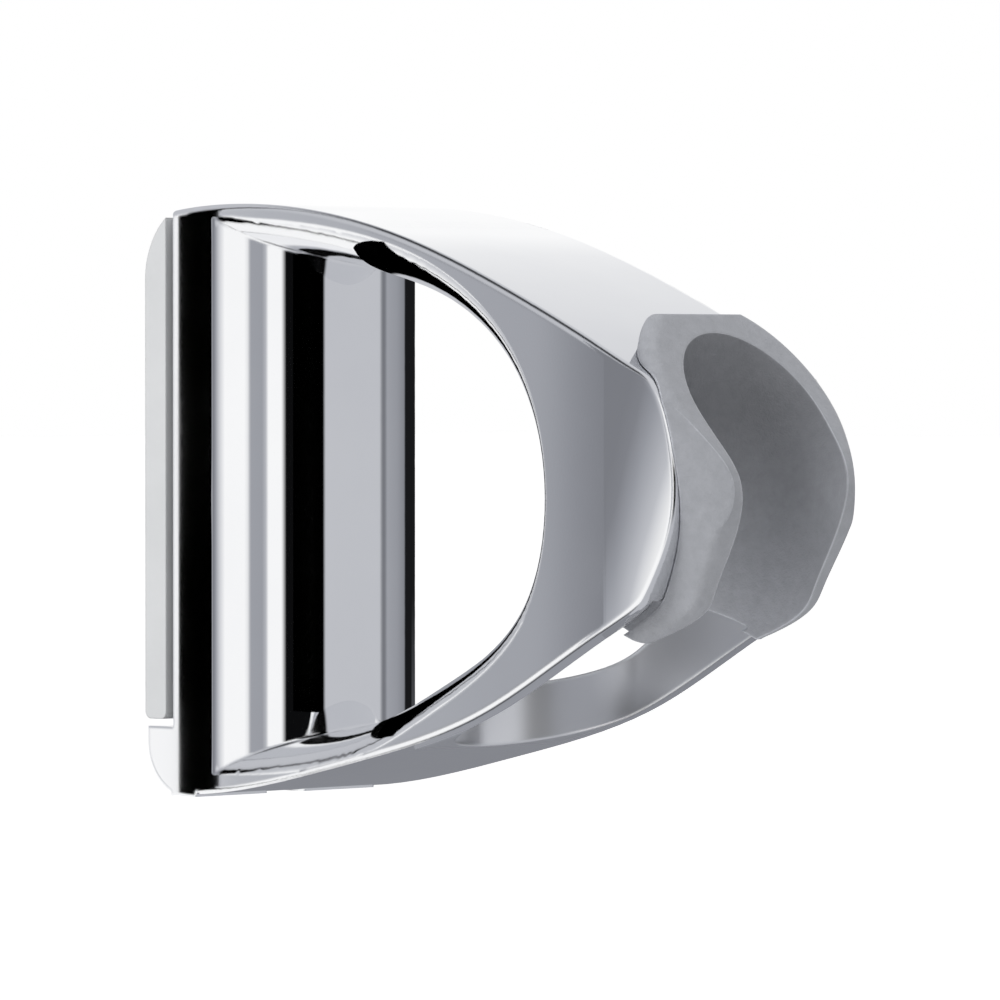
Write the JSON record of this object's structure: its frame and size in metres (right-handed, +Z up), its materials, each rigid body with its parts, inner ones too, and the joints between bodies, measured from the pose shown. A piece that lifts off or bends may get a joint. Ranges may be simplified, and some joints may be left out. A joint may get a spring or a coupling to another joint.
{
  "type": "hand shower holder",
  "caption": "Wall-mounted hand shower holder in polished chrome, an open arched bracket with a leaning grey socket and a hose slot.",
  "frame": {"origin": "on the wall face of the bracket, in the middle of the width, level with the nose of the arm", "axes": "+X out of the wall towards the socket, +Z up, +Y across the width"},
  "size_m": [0.1069, 0.034, 0.0815],
  "materials": {
    "chrome": "polished",
    "grey_plastic": "matte",
    "light_plastic": "satin",
    "steel": "plain"
  },
  "bodies": {
    "root": {"body": "chrome", "socket_liner": "grey_plastic", "wall_bracket": "light_plastic", "fixing_screw": "steel"}
  },
  "joints": []
}
